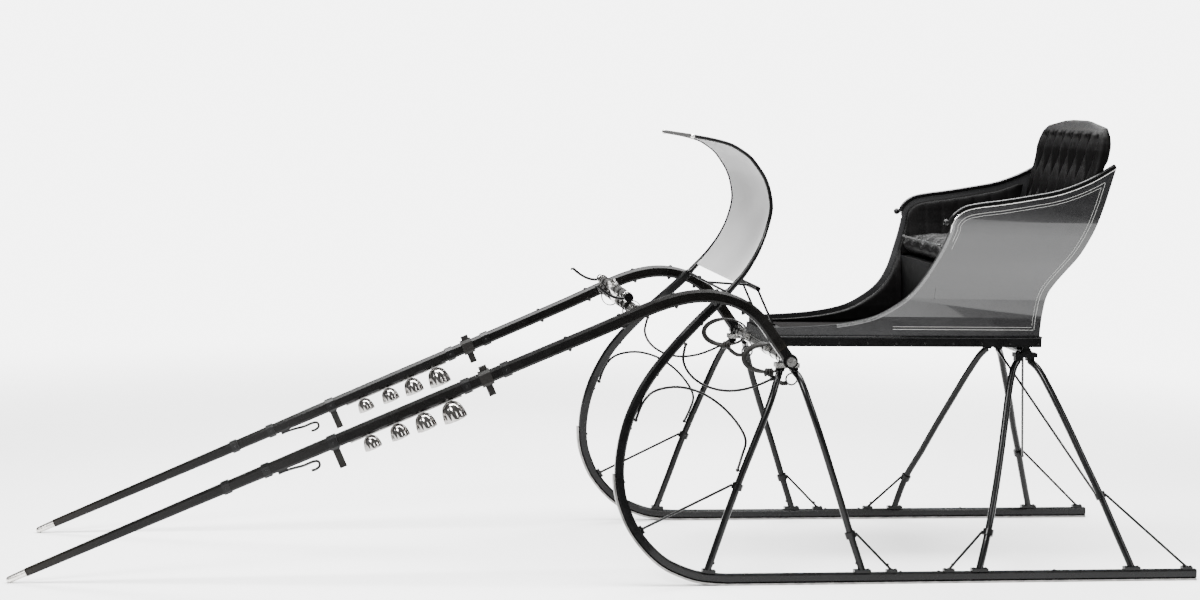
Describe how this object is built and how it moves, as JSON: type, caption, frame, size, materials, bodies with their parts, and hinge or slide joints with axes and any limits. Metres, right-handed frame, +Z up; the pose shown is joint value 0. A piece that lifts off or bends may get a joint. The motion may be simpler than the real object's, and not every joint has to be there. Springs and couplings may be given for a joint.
{
  "type": "horse drawn sleigh",
  "caption": "Light one-seat horse-drawn cutter on tall, slender legs, with upcurved runners, a curled dash, a tufted seat and arched shafts that lift at the front cross tube.",
  "frame": {"origin": "on the ground, at the middle of the bounding box's underside, which lies on the sleigh's middle plane", "axes": "+X from the shaft tips at the front to the runners' rear ends; +Y to the driver's right seen facing +X; +Z up; the sleigh faces -X and its side nearer -Y is called left"},
  "size_m": [3.635, 0.9902, 1.42],
  "materials": {
    "black_wood": "gloss black coach enamel on wood",
    "black_iron": "gloss black enamel on forged iron",
    "steel": "worn steel",
    "nickel": "polished nickel plate",
    "dash_sheet": "polished pale sheet",
    "body_paint": "varnished coach paint on wooden panels",
    "upholstery": "black tufted leather",
    "harness_leather": "black harness leather",
    "carpet": "short-pile carpet"
  },
  "bodies": {
    "sleigh": {"runner_left": "black_wood", "runner_right": "black_wood", "shoe_left": "steel", "shoe_right": "steel", "dash_iron_left": "black_iron", "dash_iron_right": "black_iron", "dash_panel": "dash_sheet", "dash_top_rail": "nickel", "toe_rail": "black_iron", "legs_front_left": "black_iron", "legs_front_right": "black_iron", "legs_rear_left": "black_iron", "legs_rear_right": "black_iron", "braces_front_left": "black_iron", "braces_front_right": "black_iron", "braces_rear_left": "black_iron", "braces_rear_right": "black_iron", "scrolls_left": "black_iron", "scrolls_right": "black_iron", "front_beam": "nickel", "rear_beam": "black_iron", "rear_stays": "black_iron", "beam_straps": "harness_leather", "sill_frame": "black_wood", "floor_board": "black_wood", "toe_board": "black_wood", "side_panel_left": "body_paint", "side_panel_right": "body_paint", "back_panel": "body_paint", "arm_rail_left": "black_wood", "arm_rail_right": "black_wood", "seat_riser": "black_wood", "seat_board": "black_wood", "side_lining_left": "upholstery", "side_lining_right": "upholstery", "seat_cushion": "upholstery", "back_cushion": "upholstery", "floor_mat": "carpet"},
    "shafts": {"shaft_left": "black_wood", "shaft_right": "black_wood", "shaft_tips": "nickel", "shaft_couplings": "black_iron", "shaft_bands": "black_iron", "holdback_loops": "black_iron", "holdback_straps": "harness_leather", "tug_stops": "harness_leather", "bells_left": "nickel", "bells_right": "nickel", "bell_straps": "steel", "crossbar": "nickel"},
    "singletree": {"singletree": "nickel", "trace_hooks": "black_iron"}
  },
  "joints": [
    {"name": "shaft_lift", "type": "hinge", "parent": "sleigh", "child": "shafts", "pos_m": [0.5165, 0, 0.676], "axis": [0, 1, 0], "range_deg": [0, 50]},
    {"name": "singletree_swing", "type": "hinge", "parent": "shafts", "child": "singletree", "pos_m": [0.0485, 0, 0.81868], "axis": [-0.4081, 0, 0.9129], "range_deg": [-20, 20]}
  ]
}
